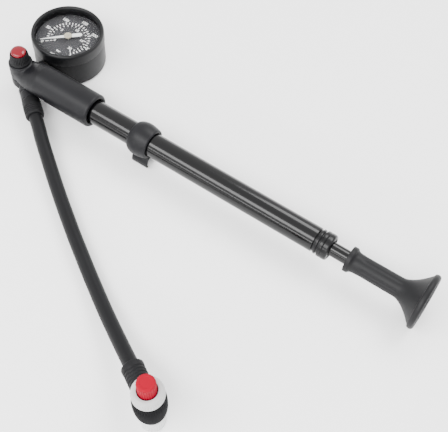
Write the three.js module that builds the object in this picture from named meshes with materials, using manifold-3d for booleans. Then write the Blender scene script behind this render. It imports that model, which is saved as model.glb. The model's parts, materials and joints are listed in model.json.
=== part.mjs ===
// Shock suspension pump lying on a table with its gauge face up.
// Millimetres, +Z up, origin on the table under the middle of the pump.
// The barrel runs along +X from the head to the handle; the gauge stands at the
// head's +Y side and the hose swings out on the -Y side.
import * as THREE from "three";
import * as BufferGeometryUtils from "three/addons/utils/BufferGeometryUtils.js";
import Module from "manifold-3d";

const wasm = await Module();
wasm.setup();

// ---------------------------------------------------------------- driving sizes
const GAP = 0.3; // clearance between pieces that touch
const AXIS_Z = 18; // height of the barrel axis above the table
const TUBE_R = 8; // barrel tube, outside
const TUBE_BORE_R = 6.8;
const HEAD_R = 11.4; // round body of the head
const ROD_R = 4.5; // plunger rod
const ROD_BORE_R = 3;
const GRIP_R = 6.5; // hand grip
const RIM_R = 17.95; // palm flare of the handle

// stations along the barrel axis, from the end face of the head's sleeve
const HEAD_END_X = -2.2;
const TUBE_START_X = -13;
const TUBE_END_X = 166.4;
const CAP_END_X = 177;
const HANDLE_X = 188.5;
const RIM_X = 241.2;
const PISTON_X = 2;
const PISTON_LENGTH = 13;

// vertical axis shared by the hose swivel and the bleed valve
const SWIVEL = new THREE.Vector2(-65, 0);
const HOSE_ANGLE = THREE.MathUtils.degToRad(-36.8); // hose outlet, seen from above
const HOSE_Z = 9; // height of the hose outlet
const FITTING_R = 6; // round barrel of the swivel fitting
const FERRULE_START = 21; // distances from the swivel axis
const FERRULE_END = 35.7;
const HOSE_R = 4.55;

// gauge, standing on its back plate
const GAUGE = new THREE.Vector2(-56.2, 38.4);
const CASE_R = 23.8;
const BEZEL_R = 24.8;
const BEZEL_TOP = 28.2;
const LENS_TOP = 25.3;
const DIAL_Z = 20.1; // underside of the dial, just above the edge of the case
const DIAL_R = 22.6;
const STEM_Z = 15.4;
const STEM_SEAT_Y = 11.6; // end of the head's gauge boss
const POINTER_ZERO = THREE.MathUtils.degToRad(-135);
const SECTOR_R = 12; // toothed sector that turns the pointer's pinion
const sectorPivot = () => new THREE.Vector2(GAUGE.x - SECTOR_R - 1.9, GAUGE.y);

// clip collar on the tube
const COLLAR_START_X = 29.5;
const COLLAR_END_X = 44.4;
const COLLAR_R = 11.4;
const CLIP_TURN = THREE.MathUtils.degToRad(-10); // where the collar happens to be turned
const CLIP_CENTRE_Z = 4.4;
const CLIP_BORE_R = 4.6;
const CLIP_WALL = 1.5;

// chuck, standing on its coupling and leaning a little
const CHUCK = new THREE.Vector3(148.6, -141.5, 0.39);
const CHUCK_LEAN = THREE.MathUtils.degToRad(3);
const CHUCK_LEAN_TOWARDS = THREE.MathUtils.degToRad(214);
const INLET_Z = 22; // height of the hose inlet on the chuck's own axis
const CHUCK_BODY_R = 9.65;
const COUPLING_R = 5.5; // inside the chuck's body
const COUPLING_GRIP_R = 7.2; // below it, where fingers turn it
const VALVE_BORE_R = 3.9;
const KNOB_R = 5.25;
const KNOB_TOP = 52.4;
const BODY_BOTTOM = 10.9; // black body of the chuck
const BODY_TOP = 35.4;
const SCREW_TRAVEL = 1.75; // how far the knob screws down

// centre line of the hose between its two ferrules
const HOSE_ROUTE = [
  [-36.2, -21.6, 9],
  [-31.2, -25.2, 9],
  [-26, -29.2, 8.7],
  [-20.4, -33.6, 8.2],
  [-7.8, -42.8, 6.8],
  [4.3, -51.5, 5.6],
  [16.4, -60.0, 5.0],
  [28.6, -68.3, 4.8],
  [40.8, -76.5, 4.8],
  [52.8, -84.2, 4.8],
  [64.4, -91.6, 4.9],
  [76.1, -98.9, 5.4],
  [87.8, -106.2, 6.8],
  [99.7, -113.4, 9.1],
  [111.4, -120.4, 12.1],
  [117.8, -124.2, 13.9],
  [124.7, -128.2, 15.9],
].map((point) => new THREE.Vector3(...point));

// the pump's own middle, which becomes the origin
const MIDDLE = new THREE.Vector2((GAUGE.x - BEZEL_R + RIM_X) / 2, (GAUGE.y + BEZEL_R - RIM_R) / 2);

// ---------------------------------------------------------------- materials
const material = (color, roughness, metalness = 0) =>
  new THREE.MeshStandardMaterial({ color, roughness, metalness });
const satinBlack = material("#26272b", 0.5);
const rubberBlack = material("#232427", 0.75);
const anodised = material("#1b1b1e", 0.28, 0.6);
const brass = material("#b08d4a", 0.35, 0.9);
const steel = material("#b9bcc0", 0.3, 1);
const redPlastic = material("#d2202b", 0.35);
const whitePlastic = material("#f1f1ee", 0.4);
const clearPlastic = material("#e8eceb", 0.2);
const dialBlack = material("#303135", 0.7);
const pointerWhite = material("#f4f3ef", 0.5);
const nitrile = material("#1c1c1c", 0.8);

// ---------------------------------------------------------------- geometry helpers
const pump = new THREE.Group();
pump.position.set(-MIDDLE.x, -MIDDLE.y, 0);

function add(name, geometry, finish, parent = pump) {
  const mesh = new THREE.Mesh(geometry, finish);
  mesh.name = name;
  parent.add(mesh);
  return mesh;
}

// Merges shared corners, drops slivers and turns every face outward.
function weld(source) {
  const bare = source.clone();
  bare.deleteAttribute("normal");
  bare.deleteAttribute("uv");
  const merged = BufferGeometryUtils.mergeVertices(bare, 1e-4);
  const position = merged.getAttribute("position");
  const corner = (index) => new THREE.Vector3().fromBufferAttribute(position, index);
  const faces = [];
  let volume = 0;
  for (let i = 0; i < merged.index.count; i += 3) {
    const [a, b, c] = [0, 1, 2].map((k) => merged.index.getX(i + k));
    if (a !== b && b !== c && c !== a) {
      faces.push([a, b, c]);
      volume += corner(a).dot(corner(b).cross(corner(c)));
    }
  }
  merged.setIndex((volume < 0 ? faces.map(([a, b, c]) => [a, c, b]) : faces).flat());
  return merged;
}

function solid(geometry) {
  const welded = weld(geometry);
  const mesh = new wasm.Mesh({
    numProp: 3,
    vertProperties: new Float32Array(welded.getAttribute("position").array),
    triVerts: new Uint32Array(welded.index.array),
  });
  return new wasm.Manifold(mesh);
}

function geometryOf(manifold) {
  const mesh = manifold.getMesh();
  const geometry = new THREE.BufferGeometry();
  geometry.setAttribute("position", new THREE.BufferAttribute(mesh.vertProperties, 3));
  geometry.setIndex(new THREE.BufferAttribute(mesh.triVerts, 1));
  return geometry;
}

const joined = (...shapes) => shapes.map(solid).reduce((sum, shape) => sum.add(shape));
const cut = (base, ...tools) => tools.map(solid).reduce((rest, tool) => rest.subtract(tool), base);

// A turned piece: pairs of [distance along the axis, radius]; a profile that doesn't
// start and end on the axis closes on itself. The axis is Y until it is laid down.
function turned(profile, segments = 24) {
  const points = profile.map(([along, radius]) => new THREE.Vector2(radius, along));
  if (profile[0][1] > 0 || profile.at(-1)[1] > 0) {
    points.push(points[0].clone());
  }
  return weld(new THREE.LatheGeometry(points, segments));
}
const alongX = (geometry) => geometry.rotateZ(-Math.PI / 2);
const alongZ = (geometry) => geometry.rotateX(Math.PI / 2);
const barrelPiece = (profile, segments) => alongX(turned(profile, segments)).translate(0, 0, AXIS_Z);
const uprightPiece = (profile, centre, segments) =>
  alongZ(turned(profile, segments)).translate(centre.x, centre.y, 0);
const rod = (from, to, radius) => [[from, 0], [from, radius], [to, radius], [to, 0]];
const ring = (from, to, inner, outer) => [[from, inner], [from, outer], [to, outer], [to, inner]];

// Joins rings of equally many corners into a closed skin with flat ends.
function loft(rings) {
  const size = rings[0].length;
  const centres = [rings[0], rings.at(-1)].map((corners) =>
    corners.reduce((sum, corner) => sum.add(corner), new THREE.Vector3()).divideScalar(size));
  const vertices = [...rings.flat(), ...centres];
  const faces = [];
  rings.slice(1).forEach((_, level) => {
    for (let i = 0; i < size; i += 1) {
      const [a, b] = [level * size + i, level * size + ((i + 1) % size)];
      faces.push(a, b, b + size, a, b + size, a + size);
    }
  });
  for (let i = 0; i < size; i += 1) {
    const next = (i + 1) % size;
    const top = (rings.length - 1) * size;
    faces.push(next, i, vertices.length - 2, top + i, top + next, vertices.length - 1);
  }
  const geometry = new THREE.BufferGeometry();
  const numbers = vertices.flatMap((vertex) => vertex.toArray());
  geometry.setAttribute("position", new THREE.Float32BufferAttribute(numbers, 3));
  geometry.setIndex(faces);
  return weld(geometry);
}

function polygon(sides, radius) {
  return new THREE.Shape(
    Array.from({ length: sides }, (_, i) => {
      const angle = (i / sides) * 2 * Math.PI;
      return new THREE.Vector2(radius * Math.cos(angle), radius * Math.sin(angle));
    }),
  );
}

const prism = (shape, depth, curveSegments = 12) =>
  new THREE.ExtrudeGeometry(shape, { depth, curveSegments, bevelEnabled: false });

function tubeAlong(path, sides, radius, steps) {
  const options = { steps, extrudePath: path, bevelEnabled: false };
  return weld(new THREE.ExtrudeGeometry(polygon(sides, radius), options));
}

class Helix extends THREE.Curve {
  constructor(radius, turns, height) {
    super();
    Object.assign(this, { radius, turns, height });
  }

  getPoint(t, target = new THREE.Vector3()) {
    const angle = t * this.turns * 2 * Math.PI;
    const { radius, height } = this;
    return target.set(radius * Math.cos(angle), radius * Math.sin(angle), t * height);
  }
}
const coilSpring = (radius, wire, turns, height) =>
  tubeAlong(new Helix(radius, turns, height), 5, wire, turns * 10);

// ---------------------------------------------------------------- head
// Outline of the head across the barrel at one station: a rounded box that is a
// circle when squareness is 2.
function headSection(x, halfWidth, bottom, top, squareness) {
  const corners = 32;
  const middle = (top + bottom) / 2;
  return Array.from({ length: corners }, (_, i) => {
    const angle = (i / corners) * 2 * Math.PI;
    const [c, s] = [Math.cos(angle), Math.sin(angle)];
    const y = halfWidth * Math.sign(c) * Math.abs(c) ** (2 / squareness);
    const z = middle + ((top - bottom) / 2) * Math.sign(s) * Math.abs(s) ** (2 / squareness);
    return new THREE.Vector3(x, y, z);
  });
}

const END_R = 8; // upright round end of the head
const END_TOP = 24.4;
const BOSS_R = 8; // seat of the bleed valve
const BOSS_TOP = 25.8;
const EYE_R = 7.8; // swivel eye under the head's end
const EYE_TOP = 13.4;
const EYE_BOTTOM = 4.6;

function headShell() {
  const round = (x, radius) => headSection(x, radius, AXIS_Z - radius, AXIS_Z + radius, 2);
  const endSections = [0, 25, 45, 62, 76].map((degrees) => {
    const angle = THREE.MathUtils.degToRad(degrees);
    const halfWidth = END_R * Math.cos(angle);
    return headSection(SWIVEL.x - END_R * Math.sin(angle), halfWidth, 7.5, END_TOP, 3.2);
  });
  return loft([
    round(HEAD_END_X, HEAD_R - 1),
    round(HEAD_END_X - 1.2, HEAD_R),
    round(-36, HEAD_R),
    round(-46, HEAD_R),
    headSection(-51.5, 11, 6.6, 27.8, 2.2),
    headSection(-57, 10.2, 6.8, 25.2, 2.6),
    ...endSections,
  ]);
}

// Everything below the swivel's ceiling on the hose side of a slanted line that runs
// beside the fitting, so that the fitting can swing away from the barrel.
function swingSpace() {
  const along = new THREE.Vector2(Math.cos(HOSE_ANGLE), Math.sin(HOSE_ANGLE));
  const across = new THREE.Vector2(-along.y, along.x);
  const reach = 60;
  const side = EYE_R + GAP;
  const corners = [[-reach, side], [reach, side], [reach, -reach], [-reach, -reach]];
  const shape = new THREE.Shape(
    corners.map(([a, b]) => SWIVEL.clone().addScaledVector(along, a).addScaledVector(across, b)),
  );
  return prism(shape, HOSE_Z + FITTING_R + GAP + 20).translate(0, 0, -20);
}

function addHead() {
  const lug = uprightPiece(rod(EYE_TOP + GAP, 20, EYE_R), SWIVEL);
  const boss = uprightPiece([[19, 0], [19, BOSS_R], [BOSS_TOP - 0.6, BOSS_R], [BOSS_TOP, BOSS_R - 0.6],
    [BOSS_TOP, 0]], SWIVEL, 32);
  const stemSeat = turned(rod(0, STEM_SEAT_Y, 5.6)).translate(GAUGE.x, 0, STEM_Z);
  const body = joined(headShell(), boss, stemSeat).subtract(solid(swingSpace())).add(solid(lug));
  const head = cut(
    body,
    barrelPiece(rod(TUBE_START_X - GAP, 4, TUBE_R + GAP), 32), // tube socket
    barrelPiece(rod(-27, TUBE_START_X + 1, 5), 24), // check valve chamber
    barrelPiece(rod(SWIVEL.x, -26, 1.6), 12), // air passage to the swivel
    uprightPiece(rod(EYE_TOP - 2, 20.4, 3.2), SWIVEL, 24), // bolt and poppet bore
    uprightPiece(rod(19, 23, 1.9), SWIVEL, 16), // bleed seat
    uprightPiece(rod(21.4, 30, 5.3), SWIVEL, 24), // bleed valve thread
    uprightPiece(rod(BOSS_TOP, 32, BOSS_R + GAP), SWIVEL, 32), // flat round the bleed valve
    turned(rod(4.2, 20, 3.6), 24).translate(GAUGE.x, 0, STEM_Z), // gauge thread
    turned(rod(0, 5, 1.2), 10).translate(GAUGE.x, 0, 17.2), // passage to the gauge
  );
  add("head_body", geometryOf(head), satinBlack);
}

function addCheckValve() {
  add("check_valve_seat", barrelPiece(ring(-17.4, TUBE_START_X - 1, 1.5, 4.7)), brass);
  const ball = new THREE.SphereGeometry(2.3, 12, 8).translate(-20.2, 0, AXIS_Z);
  add("check_valve_ball", weld(ball), steel);
  const spring = coilSpring(2.3, 0.3, 3, 3).rotateY(Math.PI / 2).translate(-26.2, 0, AXIS_Z);
  add("check_valve_spring", spring, steel);
}

// ---------------------------------------------------------------- barrel
function addBarrel() {
  add("barrel_tube", barrelPiece(ring(TUBE_START_X, TUBE_END_X, TUBE_BORE_R, TUBE_R), 32), anodised);
  add("barrel_end_cap", barrelPiece([
    [152, ROD_R + 1.2], [152, TUBE_BORE_R - 0.25], [TUBE_END_X + GAP, TUBE_BORE_R - 0.25],
    [TUBE_END_X + GAP, 7.3], [167.6, 7.3], [167.8, 8.1], [169.2, 8.1], [169.4, 7.4], [170.3, 7.4],
    [170.5, 8.4], [CAP_END_X - 0.8, 8.4], [CAP_END_X, 7.6], [CAP_END_X, 6.4], [174, 6.4],
    [174, ROD_R + 1.2],
  ]), rubberBlack);
  add("rod_guide_bush", barrelPiece(ring(153, 164, ROD_R + 0.2, ROD_R + 0.95)), brass);
  add("rod_wiper_seal", barrelPiece(ring(174.3, CAP_END_X - 0.3, ROD_R + 0.2, 6.1)), nitrile);
}

// ---------------------------------------------------------------- plunger
function addPlunger() {
  const rodEnd = HANDLE_X + 26;
  const pistonEnd = PISTON_X + PISTON_LENGTH;
  add("piston_rod", barrelPiece(ring(pistonEnd + GAP, rodEnd, ROD_BORE_R, ROD_R)), anodised);
  const groove = PISTON_X + 4;
  const grooveEnd = groove + 3.6;
  const pistonR = TUBE_BORE_R - 0.4;
  add("piston", barrelPiece([
    [PISTON_X, 0], [PISTON_X, pistonR], [groove, pistonR], [groove, 4.6], [grooveEnd, 4.6],
    [grooveEnd, pistonR], [pistonEnd, pistonR], [pistonEnd, ROD_BORE_R - GAP],
    [pistonEnd + 8, ROD_BORE_R - GAP], [pistonEnd + 8, 0],
  ]), brass);
  const seal = ring(groove + GAP, grooveEnd - GAP, 4.9, TUBE_BORE_R - 0.2);
  add("piston_seal", barrelPiece(seal), nitrile);

  const lip = 2.2; // thickness of the rolled edge of the flare
  const flareStart = 222.4;
  const flareEnd = RIM_X - 1.4 * lip;
  const flare = [0.2, 0.4, 0.6, 0.8, 1].map((part) => [
    flareStart + (flareEnd - flareStart) * part,
    GRIP_R + (RIM_R - 0.7 - GRIP_R) * part ** 1.65,
  ]);
  add("handle_grip", barrelPiece([
    [HANDLE_X, ROD_R + 0.2], [HANDLE_X, 7.6], [HANDLE_X + 0.5, 8.2], [HANDLE_X + 2.6, 8.2],
    [HANDLE_X + 3.6, 7.2], [HANDLE_X + 4.8, 6.6], [HANDLE_X + 6.8, 6.4],
    [flareStart, GRIP_R], ...flare,
    [RIM_X - lip * 0.8, RIM_R], [RIM_X - 0.4, RIM_R - 0.7], [RIM_X, RIM_R - 2.2],
    [RIM_X - 0.5, 13.3], [RIM_X - 2, 13.3], [RIM_X - 2, 0],
    [rodEnd + GAP, 0], [rodEnd + GAP, ROD_R + 0.2],
  ], 28), satinBlack);
  add("handle_end_pad", barrelPiece(rod(RIM_X - 1.7, RIM_X - 0.4, 12.9), 28), rubberBlack);
}

// ---------------------------------------------------------------- clip collar
function addClipCollar() {
  const bulge = barrelPiece([
    [COLLAR_START_X, 0], [COLLAR_START_X, 9.2], [31.4, 10.3], [34, 11.2], [36.5, COLLAR_R],
    [39.5, 11.1], [42, 10.6], [COLLAR_END_X - 0.6, 10.1], [COLLAR_END_X, 9.6], [COLLAR_END_X, 0],
  ], 32);
  const opening = THREE.MathUtils.degToRad(38); // jaws stop this far below the clip's middle
  const outer = CLIP_BORE_R + CLIP_WALL;
  const jaws = new THREE.Shape();
  jaws.absarc(0, 0, outer, -opening, Math.PI + opening, false);
  jaws.absarc(0, 0, CLIP_BORE_R, Math.PI + opening, -opening, true);
  const [clipStart, clipLength] = [33, 12];
  const clip = prism(jaws, clipLength, 14).rotateX(Math.PI / 2).rotateZ(Math.PI / 2)
    .translate(clipStart, 0, CLIP_CENTRE_Z);
  const web = new THREE.BoxGeometry(clipLength, 6, 4).translate(clipStart + clipLength / 2, 0, 10.9);
  const hoseBore = prism(polygon(24, CLIP_BORE_R), 40).rotateY(Math.PI / 2)
    .translate(20, 0, CLIP_CENTRE_Z);
  const turnedRound = (geometry) =>
    geometry.translate(0, 0, -AXIS_Z).rotateX(CLIP_TURN).translate(0, 0, AXIS_Z);
  const tubeBore = barrelPiece(rod(20, 60, TUBE_R + GAP), 32);
  const whole = joined(bulge, turnedRound(clip), turnedRound(web));
  add("clip_collar", geometryOf(cut(whole, turnedRound(hoseBore), tubeBore)), satinBlack);
}

// ---------------------------------------------------------------- gauge
function addGauge() {
  const inner = CASE_R - 1.4;
  const edge = DIAL_Z - GAP; // top of the case's wall, which carries the dial
  const cup = uprightPiece([
    [0, 0], [0, CASE_R - 1], [1, CASE_R], [edge, CASE_R], [edge, inner], [1.6, inner], [1.6, 0],
  ], GAUGE, 36);
  const stemHole = turned(rod(5, GAUGE.y - 10, 3.9), 24).translate(GAUGE.x, 0, STEM_Z);
  add("gauge_case", geometryOf(cut(solid(cup), stemHole)), satinBlack);
  add("gauge_bezel", uprightPiece([
    [19, CASE_R + GAP], [19, BEZEL_R], [BEZEL_TOP - 1.3, BEZEL_R], [BEZEL_TOP - 0.3, BEZEL_R - 0.6],
    [BEZEL_TOP, 23.4], [BEZEL_TOP - 0.5, 22.4], [LENS_TOP + 1, 21.8], [LENS_TOP + GAP, 21.7],
    [LENS_TOP + GAP, 23.2], [DIAL_Z, 23.2], [DIAL_Z, CASE_R + GAP],
  ], GAUGE, 36), satinBlack);
  add("gauge_lens", uprightPiece(rod(LENS_TOP - 1, LENS_TOP, 22.9), GAUGE, 36), clearPlastic);
  add("gauge_dial", uprightPiece(ring(DIAL_Z, DIAL_Z + 0.6, 1.3, DIAL_R), GAUGE, 36), dialBlack);

  const pinionZ = 16.5;
  const wheel = 1; // thickness of the pinion and of the toothed sector
  const bridge = 1.6; // thickness of the movement's plate
  const nearWall = GAUGE.y - CASE_R;
  const plate = new THREE.BoxGeometry(24, 14, bridge).translate(GAUGE.x - 6, GAUGE.y, 19);
  const arm = new THREE.BoxGeometry(6, 18, bridge).translate(GAUGE.x, nearWall + 13, 19);
  const foot = new THREE.BoxGeometry(6, 5, 2).translate(GAUGE.x, nearWall + 6.5, 18.4);
  add("gauge_movement", geometryOf(cut(
    joined(plate, arm, foot),
    uprightPiece(rod(17, 24, 1.2), GAUGE, 12),
    uprightPiece(rod(17, 24, 1.2), sectorPivot(), 12),
  )), brass);
  const sector = new THREE.Shape(); // turned so that zero is near one end of its teeth
  const spread = THREE.MathUtils.degToRad(24);
  const sectorZero = THREE.MathUtils.degToRad(-17);
  sector.moveTo(-3, -1.6);
  sector.absarc(0, 0, SECTOR_R, -spread, spread, false);
  sector.lineTo(-3, 1.6);
  const sectorPlate = prism(sector, wheel, 6).rotateZ(sectorZero)
    .translate(sectorPivot().x, sectorPivot().y, pinionZ);
  const sectorPin = uprightPiece(rod(pinionZ, 19.6, 0.8), sectorPivot(), 12);
  add("gauge_sector", geometryOf(joined(sectorPlate, sectorPin)), brass);

  const coil = new THREE.Shape();
  const [start, end] = [-73, 165].map(THREE.MathUtils.degToRad);
  coil.absarc(0, 0, 16.3, start, end, false);
  coil.absarc(0, 0, 14.7, end, start, true);
  const tube = prism(coil, 6, 20).translate(GAUGE.x, GAUGE.y, 6);
  add("gauge_bourdon_tube", weld(tube), brass);

  const thread = turned(rod(4.6, nearWall + 4, 3.3));
  const hexagon = prism(polygon(6, 4.8), 1.1).rotateX(-Math.PI / 2)
    .translate(0, STEM_SEAT_Y + GAP, 0);
  const block = new THREE.BoxGeometry(8, 8, 13).translate(0, nearWall + 6, -4.8);
  const bore = turned(rod(4, nearWall + 6, 1), 10);
  const stem = cut(joined(thread, hexagon, block), bore);
  add("gauge_stem", geometryOf(stem).translate(GAUGE.x, 0, STEM_Z), brass);

  // hand, pointing at the zero mark at rest
  const hand = new THREE.Shape();
  hand.moveTo(18.9, 0);
  hand.lineTo(0, 1.1);
  hand.lineTo(-3, 0.9);
  hand.lineTo(-3, 1.5);
  hand.absarc(-8.2, 0, 1.5, Math.PI / 2, (3 * Math.PI) / 2, false);
  hand.lineTo(-3, -1.5);
  hand.lineTo(-3, -0.9);
  hand.lineTo(0, -1.1);
  const handPlate = joined(prism(hand, 0.5), prism(polygon(20, 2.4), 0.5));
  const pierced = cut(handPlate, prism(polygon(16, 1.1), 4).translate(0, 0, -2));
  const pointer = geometryOf(pierced).rotateZ(POINTER_ZERO).translate(GAUGE.x, GAUGE.y, 22.8);
  add("gauge_pointer", pointer, pointerWhite);
  add("gauge_pointer_hub", uprightPiece([
    [pinionZ, 0], [pinionZ, 1.5], [pinionZ + wheel, 1.5], [pinionZ + wheel, 0.8], [23.6, 0.8],
    [23.6, 2.7], [24, 2.5], [24, 0],
  ], GAUGE, 20), whitePlastic);
}

// ---------------------------------------------------------------- bleed valve
function addBleedValve() {
  const base = BOSS_TOP + GAP;
  add("bleed_collar", uprightPiece([
    [21.7, 1.6], [21.7, 5], [base, 5], [base, 6.9], [base + 1, 6.9], [33.4, 5.9], [34, 5.7],
    [34, 5.3], [32.2, 5.3], [32.2, 3.8], [23, 3.8], [23, 1.6],
  ], SWIVEL, 28), rubberBlack);
  add("bleed_button", uprightPiece([
    [20.6, 0], [20.6, 1.1], [30, 1.1], [30, 3.4], [33.9, 3.4], [33.9, 5], [34.9, 5], [35.7, 4.3],
    [36.4, 2.6], [36.7, 0],
  ], SWIVEL), redPlastic);
  add("bleed_poppet", uprightPiece(rod(19.4, 20.2, 2.7), SWIVEL, 16), nitrile);
  const spring = coilSpring(2.6, 0.35, 4, 5.6).translate(SWIVEL.x, SWIVEL.y, 23.7);
  add("bleed_spring", spring, steel);
}

// ---------------------------------------------------------------- hose and swivel
// Places a turned piece so that its axis leaves a point in a direction.
function aimed(geometry, from, direction) {
  const turn = new THREE.Quaternion().setFromUnitVectors(new THREE.Vector3(0, 1, 0), direction);
  return geometry.clone().applyQuaternion(turn).translate(from.x, from.y, from.z);
}

const SWIVEL_POINT = new THREE.Vector3(SWIVEL.x, SWIVEL.y, HOSE_Z);
const HOSE_DIRECTION = new THREE.Vector3(Math.cos(HOSE_ANGLE), Math.sin(HOSE_ANGLE), 0);
const swivelPiece = (profile, segments) =>
  aimed(turned(profile, segments), SWIVEL_POINT, HOSE_DIRECTION);

function addSwivel() {
  const boltTop = 17.6;
  const hexHead = prism(polygon(6, 5.6), 2.6).translate(SWIVEL.x, SWIVEL.y, EYE_BOTTOM - GAP - 2.6);
  const shank = uprightPiece(rod(EYE_BOTTOM - 1, boltTop, 2.9), SWIVEL, 24);
  const bolt = cut(
    joined(hexHead, shank),
    uprightPiece(rod(8, 20, 1.3), SWIVEL, 12),
    swivelPiece(rod(-5, 5, 1), 10),
  );
  add("banjo_bolt", geometryOf(bolt), steel);

  const eye = uprightPiece([
    [EYE_BOTTOM, 3.2], [EYE_BOTTOM, EYE_R - 2.4], [EYE_BOTTOM + 0.8, EYE_R - 0.8],
    [EYE_BOTTOM + 2.6, EYE_R], [EYE_TOP, EYE_R], [EYE_TOP, 3.2], [12.3, 3.2], [12.3, 4.5],
    [10.9, 4.5], [10.9, 3.2], [7.1, 3.2], [7.1, 4.5], [5.7, 4.5], [5.7, 3.2],
  ], SWIVEL);
  const barrel = swivelPiece([
    [5, 0], [5, 4.2], [8.4, 4.2], [9.2, 5.2], [10.5, FITTING_R - 0.2], [FERRULE_START, FITTING_R - 0.2],
    [FERRULE_START, 2.6], [31, 2.6], [31, 0],
  ]);
  const bore = swivelPiece(rod(2, 40, 1.4), 10);
  add("hose_fitting", geometryOf(cut(joined(eye, barrel), bore)), satinBlack);
  const seal = (z) => uprightPiece(ring(z, z + 1, 3.1, 4.2), SWIVEL, 20);
  add("swivel_seal_lower", seal(5.9), nitrile);
  add("swivel_seal_upper", seal(11.1), nitrile);
  const start = FERRULE_START + GAP;
  add("head_ferrule", swivelPiece([
    [start, 2.9], [start, 5.8], [start + 1, 6.1], [FERRULE_END - 2.4, 6.3],
    [FERRULE_END - 0.8, 6.1], [FERRULE_END, 5.2], [FERRULE_END, 2.9],
  ]), rubberBlack);
}

function addHose() {
  const route = new THREE.CatmullRomCurve3(HOSE_ROUTE, false, "centripetal");
  add("hose", tubeAlong(route, 10, HOSE_R, 28), rubberBlack);
}

// ---------------------------------------------------------------- chuck
function addChuck() {
  const chuck = new THREE.Group();
  chuck.position.copy(CHUCK);
  const leanAxis = new THREE.Vector3(-Math.sin(CHUCK_LEAN_TOWARDS), Math.cos(CHUCK_LEAN_TOWARDS), 0);
  chuck.quaternion.setFromAxisAngle(leanAxis, CHUCK_LEAN);
  pump.add(chuck);
  const own = (profile, segments) => alongZ(turned(profile, segments));

  // the hose's last point, seen from the chuck, gives the direction of the inlet
  const toChuck = chuck.quaternion.clone().invert();
  const hoseEnd = HOSE_ROUTE.at(-1).clone().sub(CHUCK).applyQuaternion(toChuck);
  const inlet = new THREE.Vector3(0, 0, INLET_Z);
  const reach = inlet.distanceTo(hoseEnd);
  const outward = hoseEnd.clone().sub(inlet).normalize();
  const inletPiece = (profile, segments) => aimed(turned(profile, segments), inlet, outward);

  const shell = own([
    [BODY_BOTTOM, COUPLING_R + 0.4], [BODY_BOTTOM, 6.7], [12, 7.3], [15.5, 8.5], [20, 9.3],
    [25.5, CHUCK_BODY_R], [31, 9.55], [BODY_TOP, 9], [BODY_TOP, 3.4], [26, 3.4], [26, 2.6],
    [20, 2.6], [20, COUPLING_R + 0.4],
  ]);
  const socket = inletPiece(rod(4.5, 12.5, 5.6));
  const body = joined(shell, socket);
  const passage = inletPiece(rod(1, 14, 1.5), 10);
  const couplingBore = own(rod(5, 20, COUPLING_R + 0.4));
  add("chuck_body", geometryOf(cut(body, couplingBore, passage)), satinBlack, chuck);
  add("chuck_ferrule", inletPiece([
    [12.8, 2.4], [12.8, 6], [14, 6.4], [reach - GAP - 4, 6.4], [reach - GAP - 1.2, 6.8],
    [reach - GAP, 6.2], [reach - GAP, 2.4],
  ]), rubberBlack, chuck);
  const collar = BODY_TOP + GAP;
  add("chuck_collar", own([
    [collar, 3.4], [collar, 8.8], [collar + 0.6, 9.1], [collar + 4, 9.1], [collar + 6, 8.5],
    [collar + 6.9, 7.5], [collar + 6.9, 5.8], [collar + 2, 5.8], [collar + 2, 3.4],
  ]), whitePlastic, chuck);
  const knob = collar + 2 + SCREW_TRAVEL + GAP;
  add("chuck_knob", own([
    [28, 0], [28, 3.1], [knob, 3.1], [knob, KNOB_R - 0.3], [knob + 0.4, KNOB_R],
    [KNOB_TOP - 1, KNOB_R], [KNOB_TOP, KNOB_R - 1], [KNOB_TOP, 0],
  ]), redPlastic, chuck);
  add("valve_depressor_pin", own([
    [16.6, 0], [16.6, 0.9], [24, 0.9], [24, 2.2], [25.4, 2.2], [25.4, 1.5], [27.7, 1.5], [27.7, 0],
  ], 16), brass, chuck);
  add("chuck_seal", own(ring(16.4, 19.6, 1.3, COUPLING_R + 0.1)), nitrile, chuck);
  add("chuck_coupling", own([
    [0, VALVE_BORE_R], [0, COUPLING_GRIP_R - 0.3], [0.4, COUPLING_GRIP_R], [9.4, COUPLING_GRIP_R],
    [10.4, COUPLING_GRIP_R - 1], [10.4, COUPLING_R], [16, COUPLING_R], [16, VALVE_BORE_R],
  ]), clearPlastic, chuck);
}

addHead();
addCheckValve();
addBarrel();
addPlunger();
addClipCollar();
addGauge();
addBleedValve();
addSwivel();
addHose();
addChuck();

export default pump;
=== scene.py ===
"""Looks of the shock suspension pump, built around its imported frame.

Shapes are drawn in millimetres and placed by matrices that also turn them into metres.
The barrel lies along +X, the gauge looks up, and the chuck stands on its coupling ring.
"""

import json
import math

import bmesh
import bpy
from mathutils import Matrix, Vector


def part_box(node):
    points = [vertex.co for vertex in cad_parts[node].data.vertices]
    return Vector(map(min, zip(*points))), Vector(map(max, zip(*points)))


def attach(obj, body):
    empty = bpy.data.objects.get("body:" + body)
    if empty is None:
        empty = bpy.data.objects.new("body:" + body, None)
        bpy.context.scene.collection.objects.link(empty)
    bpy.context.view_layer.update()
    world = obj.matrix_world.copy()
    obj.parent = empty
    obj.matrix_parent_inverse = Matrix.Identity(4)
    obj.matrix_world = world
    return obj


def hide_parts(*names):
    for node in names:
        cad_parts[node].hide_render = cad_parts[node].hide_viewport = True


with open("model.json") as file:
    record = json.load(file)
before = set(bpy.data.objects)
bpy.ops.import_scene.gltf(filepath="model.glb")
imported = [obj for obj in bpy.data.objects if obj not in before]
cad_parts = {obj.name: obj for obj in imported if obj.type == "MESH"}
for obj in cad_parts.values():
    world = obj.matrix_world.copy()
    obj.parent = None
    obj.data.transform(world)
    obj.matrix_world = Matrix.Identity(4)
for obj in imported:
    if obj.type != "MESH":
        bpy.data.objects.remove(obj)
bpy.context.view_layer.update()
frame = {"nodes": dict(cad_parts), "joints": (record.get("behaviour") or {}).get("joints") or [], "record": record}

MM = 0.001
HAIR = 1e-6  # a radius below this is a point on the axis
SHARP_ANGLE = 32  # degrees between faces above which their edge stays crisp


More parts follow.
